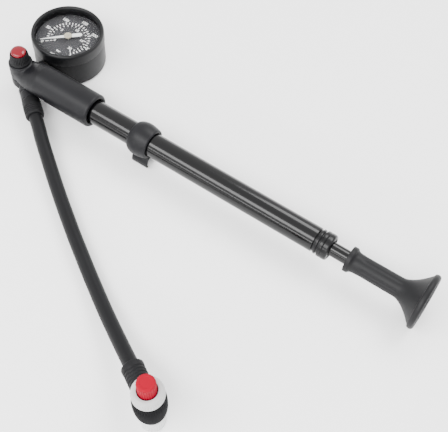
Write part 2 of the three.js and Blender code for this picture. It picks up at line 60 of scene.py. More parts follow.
# ---------------------------------------------------------------- places in the frame
def span(node):
    """Lowest and highest corner of a CAD node, in millimetres."""
    low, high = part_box(node)
    return low / MM, high / MM


def middle(node):
    low, high = span(node)
    return (low + high) / 2


def joint(name):
    return next(entry for entry in frame["joints"] if entry["name"] == name)


def place(origin, axis=(0, 0, 1), spin=0):
    """Matrix from a piece's own millimetres, with its axis on Z, to the frame's metres."""
    turn = Vector((0, 0, 1)).rotation_difference(Vector(axis)).to_matrix().to_4x4()
    own_spin = Matrix.Rotation(math.radians(spin), 4, "Z")
    return Matrix.Scale(MM, 4) @ Matrix.Translation(Vector(origin)) @ turn @ own_spin


AXIS = middle("barrel_tube")  # its y and z are the barrel's
GAUGE = middle("gauge_case")
SWIVEL = middle("bleed_collar")
CHUCK_AXIS = Vector(joint("coupling_turn")["axis"])
COUPLING_HEIGHT = 8  # of the coupling joint's point above the chuck's foot
CHUCK = Vector(joint("coupling_turn")["pos_m"]) / MM - COUPLING_HEIGHT * CHUCK_AXIS
ALONG_BARREL = (1, 0, 0)


def on_barrel(x):
    return place((x, AXIS.y, AXIS.z), ALONG_BARREL)


def on_gauge(z=0):
    return place((GAUGE.x, GAUGE.y, z))


def on_chuck():
    return place(CHUCK, CHUCK_AXIS)


# the hose's centre line, from the head's ferrule to the chuck's, in metres
HOSE_ROUTE = [
    (-0.1163, -0.044225, 0.0090),
    (-0.1113, -0.047825, 0.0090),
    (-0.1061, -0.051825, 0.0087),
    (-0.1005, -0.056225, 0.0082),
    (-0.0879, -0.065425, 0.0068),
    (-0.0758, -0.074125, 0.0056),
    (-0.0637, -0.082625, 0.0050),
    (-0.0515, -0.090925, 0.0048),
    (-0.0393, -0.099125, 0.0048),
    (-0.0273, -0.106825, 0.0048),
    (-0.0157, -0.114225, 0.0049),
    (-0.0040, -0.121525, 0.0054),
    (0.0077, -0.128825, 0.0068),
    (0.0196, -0.136025, 0.0091),
    (0.0313, -0.143025, 0.0121),
    (0.0377, -0.146825, 0.0139),
    (0.0446, -0.150825, 0.0159),
]
HOSE_DIAMETER = 0.0091
HOSE_START = Vector(HOSE_ROUTE[0]) / MM
HOSE_END = Vector(HOSE_ROUTE[-1]) / MM
OUTLET = (HOSE_START - Vector((SWIVEL.x, SWIVEL.y, HOSE_START.z))).normalized()


# ---------------------------------------------------------------- materials
def socket(node, name, value):
    node.inputs[name].default_value = value


def finish(name, color, roughness, grain=1500, bump=0.02, variation=0.15, metallic=0.0,
           stretch=(1, 1, 1), wear=0.08, shine=0.5):
    """A moulded or machined surface: fine grain in bump, colour and roughness.

    grain is the number of grains per metre, bump their height in millimetres, and stretch
    draws the grain out along an axis, as on an extruded or turned piece. shine is how
    strongly it reflects, where 0.5 is ordinary plastic.
    """
    material = bpy.data.materials.new(name)
    material.use_nodes = True
    nodes, links = material.node_tree.nodes, material.node_tree.links
    shader = nodes["Principled BSDF"]
    socket(shader, "Metallic", metallic)
    socket(shader, "Specular IOR Level", shine)
    coordinates = nodes.new("ShaderNodeTexCoord")
    mapping = nodes.new("ShaderNodeMapping")
    socket(mapping, "Scale", stretch)
    links.new(coordinates.outputs["Object"], mapping.inputs["Vector"])

    def noise(scale, detail):
        texture = nodes.new("ShaderNodeTexNoise")
        socket(texture, "Scale", scale)
        socket(texture, "Detail", detail)
        links.new(mapping.outputs["Vector"], texture.inputs["Vector"])
        return texture.outputs["Fac"]

    fine = noise(grain, 4)
    broad = noise(grain / 25, 3)
    ramp = nodes.new("ShaderNodeValToRGB")
    ramp.color_ramp.elements[0].position = 0.3
    ramp.color_ramp.elements[1].position = 0.7
    ramp.color_ramp.elements[0].color = [c * (1 - variation) for c in color] + [1]
    ramp.color_ramp.elements[1].color = [min(1, c * (1 + variation)) for c in color] + [1]
    links.new(broad, ramp.inputs["Fac"])
    links.new(ramp.outputs["Color"], shader.inputs["Base Color"])
    spread = nodes.new("ShaderNodeMapRange")
    socket(spread, "To Min", max(0.02, roughness - wear))
    socket(spread, "To Max", roughness + wear)
    links.new(broad, spread.inputs["Value"])
    links.new(spread.outputs["Result"], shader.inputs["Roughness"])
    height = nodes.new("ShaderNodeBump")
    socket(height, "Strength", 1)
    socket(height, "Distance", bump * MM)
    links.new(fine, height.inputs["Height"])
    links.new(height.outputs["Normal"], shader.inputs["Normal"])
    return material


def clear_finish(name, tint, alpha, roughness):
    """Clear or milky plastic, with faint rubbed marks in its gloss. alpha is its solidity."""
    material = finish(name, tint, roughness, grain=900, bump=0.002, variation=0.03, wear=0.02)
    socket(material.node_tree.nodes["Principled BSDF"], "Alpha", alpha)
    return material


SATIN = finish("satin_black_plastic", (0.004, 0.004, 0.005), 0.46, grain=2200, bump=0.01,
               shine=0.2)
EGG = finish("chuck_plastic", (0.003, 0.003, 0.0036), 0.72, grain=2200, bump=0.01, shine=0.04)
CASE = finish("gauge_case_plastic", (0.003, 0.003, 0.0036), 0.4, grain=2600, bump=0.005,
              shine=0.22)
GLOSS = finish("gloss_black_plastic", (0.002, 0.002, 0.0024), 0.26, grain=1800, bump=0.003,
               shine=0.25)
ANODISED = finish("black_anodised", (0.001, 0.001, 0.0012), 0.17, grain=2500, bump=0.001,
                  stretch=(1, 0.25, 0.25), wear=0.02, shine=0.32)
SOFT_GRIP = finish("soft_grip_black", (0.0045, 0.0045, 0.0052), 0.5, grain=2400, bump=0.015,
                   shine=0.2)
RUBBER = finish("black_rubber", (0.005, 0.005, 0.0057), 0.55, grain=2600, bump=0.02,
                variation=0.25, shine=0.15)
HOSE_SKIN = finish("hose_rubber", (0.004, 0.004, 0.0046), 0.5, grain=1800, bump=0.01,
                   variation=0.12, shine=0.15)
BRASS = finish("brass", (0.52, 0.34, 0.11), 0.28, grain=3000, bump=0.003, metallic=1)
DARK_BRASS = finish("blackened_brass", (0.006, 0.0056, 0.005), 0.35, grain=3000, bump=0.003,
                    shine=0.4)
STEEL = finish("steel", (0.5, 0.51, 0.53), 0.28, grain=3000, bump=0.003, metallic=1)
RED = finish("red_plastic", (0.24, 0.0002, 0.012), 0.55, grain=1400, bump=0.004, variation=0.06,
             wear=0.05, shine=0.05)
RED_GLOSS = finish("red_button_plastic", (0.15, 0.0005, 0.006), 0.12, grain=900, bump=0.003,
                   variation=0.06, wear=0.03, shine=0.4)
WHITE = finish("white_plastic", (0.42, 0.42, 0.415), 0.42, grain=1400, bump=0.006, variation=0.03,
               shine=0.3)
CLEAR = clear_finish("clear_plastic", (0.01, 0.01, 0.011), 0.05, 0.05)
MILKY = clear_finish("milky_plastic", (0.6, 0.61, 0.61), 0.92, 0.2)
DIAL_FACE = finish("dial_face", (0.045, 0.045, 0.048), 0.6, grain=3500, bump=0.003, shine=0.2)
PRINT = finish("dial_print", (0.9, 0.9, 0.89), 0.6, grain=3500, bump=0.002, variation=0.04)
HAND = finish("pointer_paint", (0.8, 0.8, 0.79), 0.4, grain=2000, bump=0.002, variation=0.03)
IVORY = finish("hub_ivory", (0.36, 0.33, 0.25), 0.35, grain=1500, bump=0.004, variation=0.08)
NITRILE = finish("nitrile", (0.005, 0.005, 0.005), 0.5, grain=2500, bump=0.01, shine=0.3)

BY_SLOT = {
    "satin_black_plastic": SATIN,
    "black_rubber": RUBBER,
    "black_anodised": ANODISED,
    "brass": BRASS,
    "steel": STEEL,
    "red_plastic": RED,
    "white_plastic": WHITE,
    "clear_plastic": CLEAR,
    "dial_face": DIAL_FACE,
    "pointer_white": HAND,
    "nitrile": NITRILE,
}
BY_NODE = {"gauge_stem": DARK_BRASS, "banjo_bolt": DARK_BRASS}  # blackened pieces
SLOT_OF = {entry["node"]: entry["material_slot"] for entry in frame["record"]["subparts"]}
BODY_OF = {node: body for body, nodes in frame["record"]["behaviour"]["bodies"].items()
           for node in nodes}


def dress_cad_nodes():
    """Gives every carried-over CAD node the procedural finish of its slot."""
    for name, node in frame["nodes"].items():
        node.data.materials.clear()
        node.data.materials.append(BY_NODE.get(name, BY_SLOT[SLOT_OF[name]]))


# ---------------------------------------------------------------- drawing
def rounded(profile, size=0.4, steps=4):
    """Rounds the corners of a profile of (along, radius[, own corner size]) points."""
    points = [Vector(point[:2]) for point in profile]
    sizes = [point[2] if len(point) > 2 else size for point in profile]
    open_ended = points[0].y < HAIR and points[-1].y < HAIR
    result = []
    for index, point in enumerate(points):
        before = points[index - 1] - point
        after = points[(index + 1) % len(points)] - point
        at_end = open_ended and index in (0, len(points) - 1)
        straight = before.length < HAIR or after.length < HAIR or before.angle(-after) < 0.2
        reach = min(sizes[index], before.length / 2, after.length / 2)
        if at_end or straight or reach < 0.02:
            result.append(point)
            continue
        start = point + before.normalized() * reach
        end = point + after.normalized() * reach
        for step in range(steps + 1):
            t = step / steps
            result.append(start * (1 - t) ** 2 + point * 2 * t * (1 - t) + end * t * t)
    return [(p.x, p.y) for p in result]


def curve_points(points, steps=6):
    """Smooth (Catmull-Rom) curve through (along, radius) points."""
    line = [Vector(p) for p in points]
    line = [2 * line[0] - line[1]] + line + [2 * line[-1] - line[-2]]
    result = []
    for a, b, c, d in zip(line, line[1:], line[2:], line[3:]):
        for step in range(steps):
            t = step / steps
            result.append((2 * b + (c - a) * t + (2 * a - 5 * b + 4 * c - d) * t * t
                           + (3 * b - a - 3 * c + d) * t ** 3) / 2)
    result.append(line[-2])
    return [(p.x, p.y) for p in result]


def bridge(bm, first, second):
    """Faces between two rings, either of which may be a single point."""
    count = max(len(first), len(second))
    for i in range(count):
        j = (i + 1) % count
        corners = [first[i % len(first)], first[j % len(first)],
                   second[j % len(second)], second[i % len(second)]]
        unique = list(dict.fromkeys(corners))
        if len(unique) > 2:
            bm.faces.new(unique)


def revolve(profile, segments=96, wobble=None):
    """A turned solid about Z. wobble(angle, along, radius) changes the radius, for flutes."""
    bm = bmesh.new()
    rings = []
    for along, radius in profile:
        if radius < HAIR:
            rings.append([bm.verts.new((0, 0, along))])
            continue
        ring = []
        for i in range(segments):
            angle = 2 * math.pi * i / segments
            r = wobble(angle, along, radius) if wobble else radius
            ring.append(bm.verts.new((r * math.cos(angle), r * math.sin(angle), along)))
        rings.append(ring)
    closed = profile[0][1] > HAIR
    pairs = list(zip(rings, rings[1:])) + ([(rings[-1], rings[0])] if closed else [])
    for first, second in pairs:
        bridge(bm, first, second)
    return bm


def loft(rings):
    """A closed skin through rings of equally many points, with flat ends."""
    bm = bmesh.new()
    made = [[bm.verts.new(point) for point in ring] for ring in rings]
    for first, second in zip(made, made[1:]):
        bridge(bm, first, second)
    for ring in (made[0], made[-1]):
        bm.faces.new(ring)
    return bm


def slab(outline, low, high):
    """An upright prism over an outline of (x, y) points."""
    return loft([[(x, y, z) for x, y in outline] for z in (low, high)])


def block(size, centre):
    x, y, z = centre
    a, b, c = (value / 2 for value in size)
    return slab([(x - a, y - b), (x + a, y - b), (x + a, y + b), (x - a, y + b)], z - c, z + c)


def rod(low, high, radius):
    return revolve([(low, 0), (low, radius), (high, radius), (high, 0)], 64)


def moved(bm, matrix):
    bmesh.ops.transform(bm, matrix=matrix, verts=bm.verts)
    return bm


def temporary(bm):
    bmesh.ops.recalc_face_normals(bm, faces=bm.faces)
    mesh = bpy.data.meshes.new("scratch")
    bm.to_mesh(mesh)
    bm.free()
    thing = bpy.data.objects.new("scratch", mesh)
    bpy.context.scene.collection.objects.link(thing)
    return thing


def moulded(joined, cut=(), voxel=0.3, smoothing=4):
    """Joins and cuts solids, then rounds every edge a little, as on a moulded piece."""
    base, *others = [temporary(bm) for bm in joined]
    tools = [temporary(bm) for bm in cut]
    for other, operation in [(o, "UNION") for o in others] + [(o, "DIFFERENCE") for o in tools]:
        modifier = base.modifiers.new(operation, "BOOLEAN")
        modifier.operation = operation
        modifier.object = other
        modifier.solver = "EXACT"
    remesh = base.modifiers.new("remesh", "REMESH")
    remesh.mode = "VOXEL"
    remesh.voxel_size = voxel
    soften = base.modifiers.new("soften", "SMOOTH")
    soften.factor = 0.5
    soften.iterations = smoothing
    evaluated = base.evaluated_get(bpy.context.evaluated_depsgraph_get())
    bm = bmesh.new()
    bm.from_mesh(evaluated.to_mesh())
    for thing in [base, *others, *tools]:
        bpy.data.meshes.remove(thing.data)
    return bm


def piece(name, bm, matrix, material, *nodes, lean_on=None):
    """Puts a drawn solid in place as a piece that rides on the body of its CAD nodes."""
    moved(bm, matrix)
    bmesh.ops.recalc_face_normals(bm, faces=bm.faces)
    limit = math.radians(SHARP_ANGLE)
    for edge in bm.edges:
        if len(edge.link_faces) == 2:
            edge.smooth = edge.calc_face_angle(0) < limit
    for face in bm.faces:
        face.smooth = True
    mesh = bpy.data.meshes.new(name)
    bm.to_mesh(mesh)
    bm.free()
    mesh.materials.append(material)
    thing = bpy.data.objects.new(name, mesh)
    bpy.context.scene.collection.objects.link(thing)
    owner = lean_on or nodes[0]
    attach(thing, BODY_OF[owner])
    if nodes:
        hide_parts(*nodes)
    return thing


def ribs(count, depth, low, high, fade=0.6):
    """A wobble that cuts count flutes between two stations, fading out at both."""
    def wobble(angle, along, radius):
        if not low < along < high:
            return radius
        edge = min(1, (along - low) / fade, (high - along) / fade)
        return radius - depth * edge * (0.5 - 0.5 * math.cos(count * angle))
    return wobble


def subdivided(profile, step):
    """Adds stations along a profile's long stretches, so that a wobble can shape them."""
    result = [profile[0]]
    for (a, r), (b, q) in zip(profile, profile[1:]):
        count = max(1, math.ceil(abs(b - a) / step))
        result += [(a + (b - a) * i / count, r + (q - r) * i / count) for i in range(1, count + 1)]
    return result


# ---------------------------------------------------------------- head
HEAD_R = 11.4
END_R = 8
EYE_R = 7.8
SOCKET_R = 8.45
BUTTON_ABOVE_BOSS = 10.9


def head_section(x, half_width, bottom, top, squareness):
    """Outline across the barrel: a rounded box that is a circle when squareness is 2."""
    centre = (bottom + top) / 2
    ring = []
    for i in range(96):
        angle = 2 * math.pi * i / 96
        c, s = math.cos(angle), math.sin(angle)
        y = half_width * math.copysign(abs(c) ** (2 / squareness), c)
        z = centre + (top - bottom) / 2 * math.copysign(abs(s) ** (2 / squareness), s)
        ring.append((x, AXIS.y + y, z))
    return ring


def head():
    """Barrel-shaped head, flattened to an upright round end under the bleed valve."""
    end, start = span("head_body")[1].x, SWIVEL.x

    def tube_section(x, radius):
        return head_section(x, radius, AXIS.z - radius, AXIS.z + radius, 2)

    sections = [tube_section(end - 0.01, HEAD_R - 1.1), tube_section(end - 0.35, HEAD_R - 0.55),
                tube_section(end - 1.2, HEAD_R), tube_section(end - 33.8, HEAD_R)]
    sections += [tube_section(end - 43.8, HEAD_R), head_section(end - 49.3, 11, 6.6, 27.8, 2.2),
                 head_section(end - 54.8, 10.2, 6.8, 25.2, 2.6)]
    for degrees in (0, 15, 30, 45, 58, 68, 76):
        angle = math.radians(degrees)
        sections.append(head_section(start - END_R * math.sin(angle), END_R * math.cos(angle),
                                     7.5, 24.4, 3.2))
    shell = loft(sections)
    boss_top = span("bleed_button")[1].z - BUTTON_ABOVE_BOSS
    spot = Matrix.Translation((SWIVEL.x, SWIVEL.y, 0))
    boss = moved(revolve(rounded([(19, 0), (19, 8), (boss_top, 8, 0.8), (boss_top, 0)])), spot)
    lug = moved(rod(13.7, 20, EYE_R), spot)
    seat = moved(rod(0, 11.6, 5.6), Matrix.Translation((GAUGE.x, AXIS.y, 15.4))
                 @ Matrix.Rotation(-math.pi / 2, 4, "X"))

    across = Vector((-OUTLET.y, OUTLET.x))
    along = Vector((OUTLET.x, OUTLET.y))
    centre = Vector((SWIVEL.x, SWIVEL.y))
    corners = [centre + along * a + across * b
               for a, b in ((-60, 8.1), (60, 8.1), (60, -60), (-60, -60))]
    swing = slab(corners, -20, 15.3)
    tube = place((end, AXIS.y, AXIS.z), ALONG_BARREL)
    tube_hole = moved(rod(-11.1, 4, SOCKET_R), Matrix.Scale(1 / MM, 4) @ tube)
    lip = revolve([(-0.9, 0), (-0.9, SOCKET_R), (0.3, SOCKET_R + 1.1), (0.3, 0)])
    lip = moved(lip, Matrix.Scale(1 / MM, 4) @ tube)
    valve_hole = moved(rod(21.4, 32, 5.3), spot)
    bolt_hole = moved(rod(11, 20.4, 3.2), spot)
    valve_seat = moved(rod(19, 23, 1.9), spot)
    face = moved(revolve([(boss_top, 0), (boss_top, 8.4), (34, 8.4), (34, 0)]), spot)
    shape = moulded([shell, boss, seat], [swing], voxel=0.32, smoothing=1)
    holes = [tube_hole, lip, valve_hole, bolt_hole, valve_seat, face]
    shape = moulded([shape, lug], holes, voxel=0.28, smoothing=5)
    piece("head", shape, Matrix.Scale(MM, 4), SATIN, "head_body")


# ---------------------------------------------------------------- barrel and plunger
def barrel():
    low, high = span("barrel_tube")
    length = high.x - low.x
    tube = revolve(rounded([(0, 6.8), (0, 8), (length, 8), (length, 6.8)], 0.3), 128)
    piece("tube", tube, on_barrel(low.x), ANODISED, "barrel_tube")

    low, high = span("barrel_end_cap")
    end = high.x - low.x
    cap = rounded([
        (0, 5.7), (0, 6.55), (end - 10.3, 6.55), (end - 10.3, 7.3), (end - 9.3, 7.3),
        (end - 9.2, 8.15, 0.6), (end - 7.8, 8.15, 0.6), (end - 7.6, 7.3), (end - 6.8, 7.3),
        (end - 6.5, 8.5), (end - 4.6, 8.5, 0.2), (end - 4.3, 8.15, 0.1), (end - 3.9, 8.5, 0.2),
        (end - 0.9, 8.5, 0.9), (end, 7.4, 0.6), (end, 6.4), (end - 3, 6.4), (end - 3, 5.7),
    ], 0.25)
    piece("end_cap", revolve(cap, 128), on_barrel(low.x), GLOSS, "barrel_end_cap")

    low, high = span("rod_wiper_seal")
    width = high.x - low.x
    wiper = rounded([(0, 4.7), (0, 6.1), (width, 6.1), (width, 5.3), (width - 0.8, 4.75)], 0.2)
    piece("wiper_seal", revolve(wiper), on_barrel(low.x), NITRILE, "rod_wiper_seal")


def plunger():
    low, high = span("piston_rod")
    length = high.x - low.x
    shaft = revolve(rounded([(0, 3), (0, 4.5), (length, 4.5), (length, 3)], 0.3), 96)
    piece("plunger_rod", shaft, on_barrel(low.x), ANODISED, "piston_rod")

    low, high = span("handle_grip")
    length = high.x - low.x
    rim = (high.z - low.z) / 2
    flare_start, flare_end = length - 18.8, length - 4.4
    flare = [(flare_start + (flare_end - flare_start) * t, 6.5 + (rim - 8) * t ** 1.65)
             for t in (i / 14 for i in range(1, 15))]
    lip = [(length - 2.5 + 2.1 * math.sin(math.radians(a)),
            rim - 1.7 + 1.7 * math.cos(math.radians(a))) for a in range(-60, 100, 15)]
    outside = rounded([
        (0, 4.7), (0, 7.6), (0, 8.2, 0.3), (2.7, 8.2, 0.5), (3.6, 7.2, 0.6), (4.8, 6.6, 0.8),
        (6.8, 6.4, 0.8), (flare_start, 6.5, 2),
    ], 0.3)
    inside = [(length - 0.5, rim - 3.2), (length - 0.5, 13.6), (length - 0.9, 13.3),
              (length - 2, 13.3), (length - 2, 4.6)]
    profile = subdivided(outside + flare + lip, 1.2) + inside
    profile.append((26.3, 4.6))

    def flutes(angle, along, radius):
        if not 8 < along < flare_start + 3 or radius < 6:
            return radius
        edge = min(1, (along - 8) / 3, (flare_start + 3 - along) / 4)
        return radius - 0.45 * edge * max(0, math.cos(6 * angle)) ** 2

    piece("handle", revolve(profile, 144, flutes), on_barrel(low.x), SOFT_GRIP, "handle_grip")

    low, high = span("handle_end_pad")
    thick = high.x - low.x
    pad = [(0, 0), (0, 12.9), (thick - 0.4, 12.9), (thick - 0.2, 12.5)]
    for index in range(11):
        radius = 12 - index
        pad += [(thick - 0.2, radius + 0.25), (thick, radius), (thick, radius - 0.3),
                (thick - 0.2, radius - 0.55)]
    pad.append((thick - 0.2, 0))
    piece("palm_pad", revolve(pad, 96), on_barrel(low.x), RUBBER, "handle_end_pad")


# ---------------------------------------------------------------- clip collar
def clip():
    """Bulged collar on the tube with a C-shaped jaw that holds the hose."""
    low, high = span("clip_collar")
    turn = math.radians(-10)
    start = low.x
    bulge = revolve(curve_points([(0, 9.1), (1.9, 10.4), (4.5, 11.2), (7, 11.4), (10, 11.1),
                                  (12.5, 10.6), (14.2, 10.2)]) + [(14.9, 9.7), (14.9, 8), (0, 8)],
                    96)
    bulge = moved(bulge, Matrix.Scale(1 / MM, 4) @ on_barrel(start))

    centre_z, bore, wall = 4.4, 4.6, 1.5
    opening = math.radians(38)
    sweep = [math.pi + opening - (math.pi + 2 * opening) * i / 40 for i in range(41)]
    outer = [(math.cos(a) * (bore + wall), math.sin(a) * (bore + wall)) for a in sweep]
    inner = [(math.cos(a) * bore, math.sin(a) * bore) for a in reversed(sweep)]
    jaw = loft([[(x, AXIS.y + y, centre_z + z) for y, z in outer + inner]
                for x in (start + 3.5, start + 15.5)])
    web = block((12, 6, 4), (start + 9.5, AXIS.y, 10.9))
    hose_bore = moved(rod(-9, 31, bore), Matrix.Translation((start, AXIS.y, centre_z))
                      @ Matrix.Rotation(math.pi / 2, 4, "Y"))
    about_barrel = (Matrix.Translation((0, AXIS.y, AXIS.z)) @ Matrix.Rotation(turn, 4, "X")
                    @ Matrix.Translation((0, -AXIS.y, -AXIS.z)))
    for bm in (jaw, web, hose_bore):
        moved(bm, about_barrel)
    tube_bore = moved(rod(-9, 40, 8.3), Matrix.Scale(1 / MM, 4) @ on_barrel(start))
    shape = moulded([bulge, jaw, web], [hose_bore, tube_bore], voxel=0.25)
    piece("hose_clip", shape, Matrix.Scale(MM, 4), SATIN, "clip_collar")


# ---------------------------------------------------------------- gauge
SWEEP_START, SWEEP = -135, -270  # degrees from zero to the end of the scale, clockwise
PSI_END, BAR_END = 300, 20
PRINT_THICKNESS = 0.05
PSI_NUMBERS_R, BAR_NUMBERS_R = 17.9, 9.3


def scale_angle(value, end):
    return math.radians(SWEEP_START + SWEEP * value / end)


def gauge_shell():
    low, high = span("gauge_bezel")
    radius, top = (high.x - low.x) / 2, high.z
    skirt = top - 8.9
    wall = radius - 0.35
    case = rounded([(0, 0), (0, wall, 1.6), (skirt - 0.25, wall), (skirt - 0.25, 22.8),
                    (1.6, 22.8), (1.6, 0)], 0.4)
    piece("gauge_cup", revolve(case, 160), on_gauge(), CASE, "gauge_case")
    lens_top = span("gauge_lens")[1].z
    lip = rounded([
        (skirt, 23), (skirt, radius, 0.3), (top - 1.5, radius, 1.0),
        (top - 0.35, radius - 0.7, 0.6),
        (top, radius - 1.5, 0.5), (top - 0.5, radius - 2.4, 0.5), (top - 1.5, radius - 2.9, 0.4),
        (lens_top + 0.1, radius - 3.1), (lens_top + 0.1, 23), (lens_top + 0.05, 23),
    ], 0.3)
    piece("gauge_rim", revolve(lip, 160), on_gauge(), CASE, "gauge_bezel")
    lens = rounded([(0, 0), (0, 22.8), (0.8, 22.8), (1, 21.6), (1, 0)], 0.2)
    piece("gauge_window", revolve(lens, 128), on_gauge(lens_top - 1), CLEAR, "gauge_lens")


def tick(bm, angle, inner, outer, width):
    """One printed line along a radius."""
    along = Vector((math.cos(angle), math.sin(angle)))
    side = Vector((-along.y, along.x)) * width / 2
    corners = [along * inner - side, along * outer - side, along * outer + side,
               along * inner + side]
    rings = [[bm.verts.new((p.x, p.y, z)) for p in corners] for z in (0, PRINT_THICKNESS)]
    bridge(bm, *rings)
    for ring in rings:
        bm.faces.new(ring)


def printed(bm, text, size, where):
    """Adds a printed word or number, upright as the dial is read, to a mesh."""
    curve = bpy.data.curves.new("label", "FONT")
    curve.body = text
    curve.size = size
    curve.align_x = "CENTER"
    curve.align_y = "CENTER"
    curve.extrude = PRINT_THICKNESS / 2
    curve.resolution_u = 3
    curve.offset = 0.06
    label = bpy.data.objects.new("label", curve)
    bpy.context.scene.collection.objects.link(label)
    mesh = label.to_mesh(depsgraph=bpy.context.evaluated_depsgraph_get())
    mesh.transform(Matrix.Translation((*where, PRINT_THICKNESS / 2)))
    bm.from_mesh(mesh)
    bpy.data.objects.remove(label)


def gauge_dial():
    low, high = span("gauge_dial")
    plate = rounded([(0, 0), (0, 22.6), (0.6, 22.6), (0.6, 0)], 0.1)
    piece("dial_plate", revolve(plate, 96), on_gauge(low.z), DIAL_FACE, "gauge_dial")

    bm = bmesh.new()
    for psi in range(0, PSI_END + 1, 10):
        outer = 15.6 if psi % 50 == 0 else 14.9
        tick(bm, scale_angle(psi, PSI_END), 13.3, outer, 0.6)
    for bar in range(BAR_END + 1):
        inner = 10.9 if bar % 5 == 0 else 11.4
        tick(bm, scale_angle(bar, BAR_END), inner, 12.6, 0.5)
    for psi in range(0, PSI_END + 1, 50):
        angle = scale_angle(psi, PSI_END)
        where = (PSI_NUMBERS_R * math.cos(angle), PSI_NUMBERS_R * math.sin(angle))
        printed(bm, str(psi), 3.3, where)
    for bar in range(0, BAR_END + 1, 5):
        angle = scale_angle(bar, BAR_END)
        where = (BAR_NUMBERS_R * math.cos(angle), BAR_NUMBERS_R * math.sin(angle))
        printed(bm, str(bar), 2.8, where)
    printed(bm, "psi", 2.8, (0, -17.2))
    printed(bm, "bar", 2.4, (2, -13.0))
    piece("dial_marks", bm, on_gauge(high.z + 0.01), PRINT, lean_on="gauge_dial")


def gauge_hand():
    """Tapered hand with a broad round-ended tail, and its pressed hub."""
    height = span("gauge_pointer")[0].z
    tail = [(-8.2 + 1.5 * math.cos(math.radians(a)), 1.5 * math.sin(math.radians(a)))
            for a in range(90, 271, 15)]
    outline = [(18.9, 0.12), (4, 0.95), (0, 1.1), (-2.6, 1.1), (-3.2, 1.5), *tail,
               (-3.2, -1.5), (-2.6, -1.1), (0, -1.1), (4, -0.95), (18.9, -0.12)]
    blade = slab(outline, 0, 0.5)
    bmesh.ops.bevel(blade, geom=[e for e in blade.edges], offset=0.1, segments=2,
                    affect="EDGES")
    piece("needle", blade, place((GAUGE.x, GAUGE.y, height), spin=SWEEP_START), HAND,
          "gauge_pointer")
    low, high = span("gauge_pointer_hub")
    top = high.z
    hub = rounded([
        (low.z, 0), (low.z, 1.5), (low.z + 1, 1.5), (low.z + 1, 0.8), (top - 0.75, 0.8),
        (top - 0.75, 2.75), (top - 0.2, 2.75, 0.3), (top, 2.3, 0.2), (top - 0.25, 1.0, 0.1),
        (top - 0.3, 0.7), (top - 0.6, 0.6), (top - 0.6, 0),
    ], 0.15)
    piece("needle_hub", revolve(hub, 64), on_gauge(), IVORY, "gauge_pointer_hub")


# ---------------------------------------------------------------- bleed valve
def bleed_valve():
    low, high = span("bleed_collar")
    base, top = low.z + 4.4, high.z
    spot = place((SWIVEL.x, SWIVEL.y, 0))
    outside = rounded([(low.z, 1.6), (low.z, 5), (base, 5), (base, 7.0, 0.3),
                       (base + 1.3, 7.0, 0.3),
                       (base + 1.5, 6.75, 0.2), (top - 0.9, 5.95, 0.2), (top, 5.6, 0.3),
                       (top, 5.3, 0.1), (top - 1.8, 5.3), (top - 1.8, 3.8), (low.z + 1.3, 3.8),
                       (low.z + 1.3, 1.6)], 0.2)
    knurl = ribs(36, 0.28, base + 1.5, top - 0.6)

    def outside_only(angle, along, radius):
        return knurl(angle, along, radius) if radius > 5.6 else radius

    collar = revolve(subdivided(outside, 0.8), 288, outside_only)
    piece("bleed_knurled_collar", collar, spot, RUBBER, "bleed_collar")

    low, high = span("bleed_button")
    crown = high.z - 1.9
    dome = [(crown + 1.9 * math.sin(math.radians(a)) ** 0.9, 4.95 * math.cos(math.radians(a)))
            for a in range(8, 90, 8)]
    profile = [(low.z, 0), (low.z, 1.1), (low.z + 9.4, 1.1), (low.z + 9.4, 3.4),
               (high.z - 2.8, 3.4), (high.z - 2.8, 4.95), (crown, 4.95), *dome, (high.z, 0)]
    piece("bleed_push_button", revolve(profile, 96), spot, RED_GLOSS, "bleed_button")


# ---------------------------------------------------------------- swivel, hose
def swivel():
    spot = Matrix.Translation((SWIVEL.x, SWIVEL.y, 0))
    eye = revolve(rounded([
        (4.6, 3.2), (4.6, 5.4, 0.6), (5.4, 7, 0.8), (7.2, EYE_R, 1.2), (13.4, EYE_R), (13.4, 3.2),
    ], 0.3))
    aim = Matrix.Scale(1 / MM, 4) @ place((SWIVEL.x, SWIVEL.y, HOSE_START.z), OUTLET)
    neck = revolve(rounded([
        (5, 0), (5, 4.2), (8.4, 4.2), (9.2, 5.2), (10.5, 5.8), (13.4, 5.8), (13.8, 5.3, 0.15),
        (14.6, 5.3, 0.15), (15, 5.8), (21, 5.8), (21, 2.6), (31, 2.6), (31, 0),
    ], 0.3))
    shape = moulded([moved(eye, spot), moved(neck, aim)], [moved(rod(2, 40, 1.4), aim)],
                    voxel=0.25)
    piece("swivel_fitting", shape, Matrix.Scale(MM, 4), SATIN, "hose_fitting")

    start = 21.3
    end = (HOSE_START - Vector((SWIVEL.x, SWIVEL.y, HOSE_START.z))).length - 0.3
    outside = [(start, 2.9), (start, 5.8), (start + 1, 6.1), (start + 6, 6.25)]
    for index in range(4):
        x = start + 6.6 + index * 1.6
        outside += [(x, 6.25, 0.2), (x + 0.35, 5.6, 0.2), (x + 0.75, 5.6, 0.2),
                    (x + 1.1, 6.25, 0.2)]
    outside += [(end - 0.5, 6.0, 0.3), (end, 5.3, 0.2), (end, 2.9)]
    ferrule = revolve(rounded(outside, 0.3), 96)
    matrix = place((SWIVEL.x, SWIVEL.y, HOSE_START.z), OUTLET)
    return piece("hose_boot_at_head", ferrule, matrix, RUBBER, "head_ferrule")


